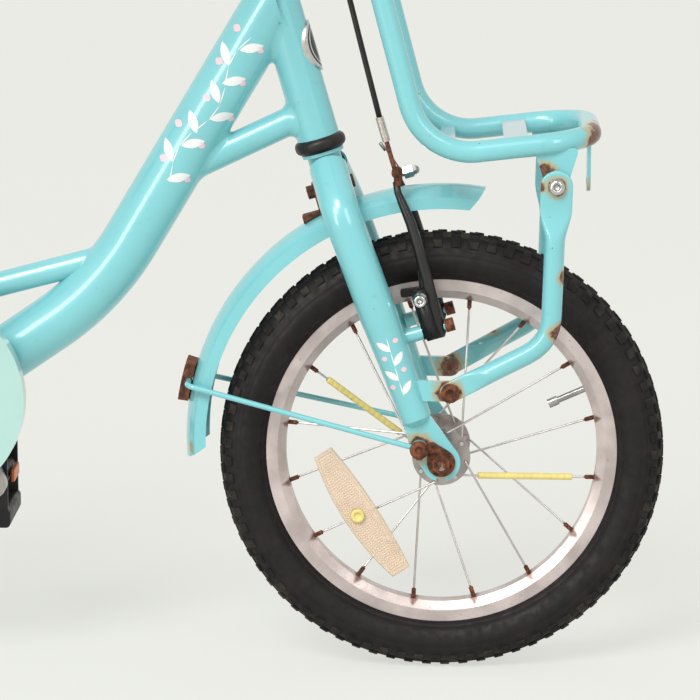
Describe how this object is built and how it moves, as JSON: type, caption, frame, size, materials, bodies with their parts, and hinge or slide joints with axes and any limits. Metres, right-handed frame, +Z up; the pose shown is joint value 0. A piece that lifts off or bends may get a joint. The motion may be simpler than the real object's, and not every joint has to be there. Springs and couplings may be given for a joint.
{
  "type": "bicycle on stand",
  "caption": "Child's step-through bicycle with front carrier, fenders, chain guard, rim brake and a folding rear stand that lifts the back wheel.",
  "frame": {"origin": "on the ground under the middle of the whole bicycle, in its centre plane", "axes": "+X forward, +Y to the rider's left, +Z up"},
  "size_m": [1.1965, 0.5977, 0.8563],
  "materials": {
    "mint_paint": "satin gloss enamel, lightly worn",
    "guard_paint": "gloss enamel",
    "tyre_rubber": "matt moulded rubber",
    "rim_alloy": "satin",
    "bright_steel": "plated, lightly dulled",
    "rusted_bolt": "plated, rusted",
    "black_plastic": "satin moulding",
    "black_metal": "satin black enamel",
    "grip_rubber": "matt",
    "saddle_cover": "sewn cover, satin",
    "brake_rubber": "matt",
    "badge_metal": "pressed, satin",
    "lens_amber": "clear moulded",
    "lens_red": "clear moulded"
  },
  "bodies": {
    "frame": {"head_tube": "mint_paint", "main_tube": "mint_paint", "frame_braces": "mint_paint", "seat_tube": "mint_paint", "bottom_bracket_shell": "mint_paint", "rear_stays": "mint_paint", "bearing_cups": "black_plastic", "head_badge": "badge_metal", "seat_clamp": "bright_steel", "chain_guard": "guard_paint", "chain": "bright_steel", "rear_fender": "mint_paint", "rear_fender_stay": "bright_steel", "rear_reflector": "lens_red", "rear_axle": "bright_steel", "coaster_brake_arm": "bright_steel"},
    "steering": {"fork": "mint_paint", "headset_nuts": "bright_steel", "stem": "bright_steel", "handlebar": "bright_steel", "grips": "grip_rubber", "front_axle": "bright_steel", "front_axle_nuts": "rusted_bolt", "front_fender": "mint_paint", "fender_bracket": "rusted_bolt", "fender_stay": "mint_paint", "carrier_loop": "mint_paint", "carrier_slats": "mint_paint", "carrier_legs": "mint_paint", "carrier_brackets": "mint_paint", "fork_bolts": "rusted_bolt", "brake_lever_mount": "black_plastic", "brake_cable": "black_plastic"},
    "front_wheel": {"front_tyre": "tyre_rubber", "front_rim": "rim_alloy", "front_spokes": "bright_steel", "front_valve": "bright_steel", "front_hub": "bright_steel", "spoke_reflectors": "lens_amber"},
    "rear_wheel": {"rear_tyre": "tyre_rubber", "rear_rim": "rim_alloy", "rear_spokes": "bright_steel", "rear_valve": "bright_steel", "rear_hub": "bright_steel", "rear_sprocket": "bright_steel"},
    "crankset": {"cranks": "bright_steel", "chainring": "bright_steel"},
    "pedal_right": {"pedal_right": "black_plastic"},
    "pedal_left": {"pedal_left": "black_plastic"},
    "brake_lever": {"brake_lever": "black_metal"},
    "brake_right": {"brake_arm_right": "black_metal", "brake_pad_right": "brake_rubber", "brake_noodle": "bright_steel"},
    "brake_left": {"brake_arm_left": "black_metal", "brake_pad_left": "brake_rubber"},
    "seat": {"seat_post": "bright_steel", "saddle": "saddle_cover", "saddle_rails": "bright_steel"},
    "stand": {"stand_legs": "black_metal", "stand_feet": "black_plastic"}
  },
  "joints": [
    {"name": "steering_turn", "type": "hinge", "parent": "frame", "child": "steering", "pos_m": [0.37281, 0, 0.19253], "axis": [-0.2809, 0, 0.9597], "range_deg": [-65, 65]},
    {"name": "front_wheel_spin", "type": "hinge", "parent": "steering", "child": "front_wheel", "pos_m": [0.39834, 0, 0.2], "axis": [0, 1, 0], "continuous": true},
    {"name": "crank_spin", "type": "hinge", "parent": "frame", "child": "crankset", "pos_m": [-0.05366, 0, 0.244], "axis": [0, 1, 0], "continuous": true, "deforming": ["chain"]},
    {"name": "rear_wheel_spin", "type": "hinge", "parent": "frame", "child": "rear_wheel", "pos_m": [-0.35534, 0, 0.215], "axis": [0, 1, 0], "continuous": true},
    {"name": "pedal_right_spin", "type": "hinge", "parent": "crankset", "child": "pedal_right", "pos_m": [-0.09088, 0, 0.33897], "axis": [0, 1, 0], "continuous": true},
    {"name": "pedal_left_spin", "type": "hinge", "parent": "crankset", "child": "pedal_left", "pos_m": [-0.01644, 0, 0.14903], "axis": [0, 1, 0], "continuous": true},
    {"name": "brake_lever_pull", "type": "hinge", "parent": "steering", "child": "brake_lever", "pos_m": [0.20189, -0.23932, 0.82065], "axis": [-0.338, 0.5481, -0.7651], "range_deg": [0, 12], "stiffness_Nm_per_rad": 1, "springref_deg": -5.73, "deforming": ["brake_cable"]},
    {"name": "brake_right_close", "type": "hinge", "parent": "steering", "child": "brake_right", "pos_m": [0.401, -0.04, 0.32059], "axis": [-0.9597, 0, -0.2809], "range_deg": [0, 3]},
    {"name": "brake_left_close", "type": "hinge", "parent": "steering", "child": "brake_left", "pos_m": [0.401, 0.04, 0.32059], "axis": [0.9597, 0, 0.2809], "range_deg": [0, 3]},
    {"name": "seat_height", "type": "slide", "parent": "frame", "child": "seat", "axis": [-0.3419, 0, 0.9397], "range_m": [-0.04, 0.06]},
    {"name": "stand_fold", "type": "hinge", "parent": "frame", "child": "stand", "pos_m": [-0.35534, 0, 0.215], "axis": [0, 1, 0], "range_deg": [0, 115]}
  ],
  "couplings": [
    {"joint": "rear_wheel_spin", "follows": "crank_spin", "ratio": 2},
    {"joint": "brake_right_close", "follows": "brake_lever_pull", "ratio": 0.25},
    {"joint": "brake_left_close", "follows": "brake_lever_pull", "ratio": 0.25}
  ]
}
